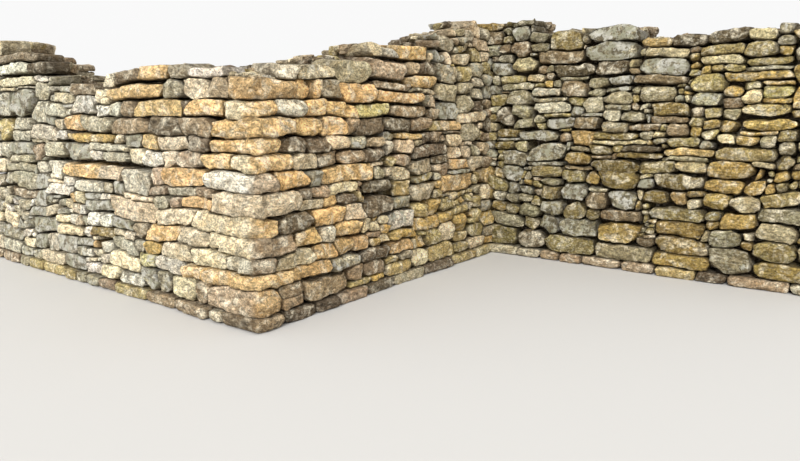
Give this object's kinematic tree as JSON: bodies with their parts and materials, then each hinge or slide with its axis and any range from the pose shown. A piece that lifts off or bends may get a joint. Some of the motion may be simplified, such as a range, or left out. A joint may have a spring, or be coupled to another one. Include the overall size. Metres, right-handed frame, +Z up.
{
  "type": "dry stone retaining wall",
  "caption": "Dry stone retaining wall on a Z-shaped plan, with a toothed corner of bull-nosed quoins, coursed skins, packed hearting and a stepped line of cope stones.",
  "frame": {"origin": "on the bottom face, under the outside corner, where the centre lines of the left and right stretches cross", "axes": "+X along the back stretch, away from the inner corner, and the left stretch runs to -X; +Y along the right stretch, away from the outside corner; +Z up"},
  "size_m": [7.1, 3.9, 2.337],
  "materials": {
    "quoin_stone": "golden limestone, rough and rounded",
    "face_stone": "golden, cream and grey limestone, weathered, with lichen",
    "cope_stone": "grey-green lichened limestone",
    "back_stone": "rough grey-brown limestone",
    "footing_stone": "earth-stained limestone",
    "hearting_rubble": "small broken limestone, dusty"
  },
  "bodies": {
    "root": {"left_near_footing": "footing_stone", "left_near_face": "face_stone", "left_near_hearting": "hearting_rubble", "left_near_back": "back_stone", "left_near_cope": "cope_stone", "left_far_footing": "footing_stone", "left_far_face": "face_stone", "left_far_hearting": "hearting_rubble", "left_far_back": "back_stone", "left_far_cope": "cope_stone", "right_near_footing": "footing_stone", "right_near_face": "face_stone", "right_near_hearting": "hearting_rubble", "right_near_back": "back_stone", "right_near_cope": "cope_stone", "right_far_footing": "footing_stone", "right_far_face": "face_stone", "right_far_hearting": "hearting_rubble", "right_far_back": "back_stone", "right_far_cope": "cope_stone", "back_near_footing": "footing_stone", "back_near_face": "face_stone", "back_near_hearting": "hearting_rubble", "back_near_back": "back_stone", "back_near_cope": "cope_stone", "back_far_footing": "footing_stone", "back_far_face": "face_stone", "back_far_hearting": "hearting_rubble", "back_far_back": "back_stone", "back_far_cope": "cope_stone", "quoin_01": "quoin_stone", "quoin_02": "quoin_stone", "quoin_03": "quoin_stone", "quoin_04": "quoin_stone", "quoin_05": "quoin_stone", "quoin_06": "quoin_stone", "quoin_07": "quoin_stone", "quoin_08": "quoin_stone", "quoin_09": "quoin_stone", "quoin_10": "quoin_stone", "quoin_11": "quoin_stone", "quoin_12": "quoin_stone"}
  },
  "joints": []
}
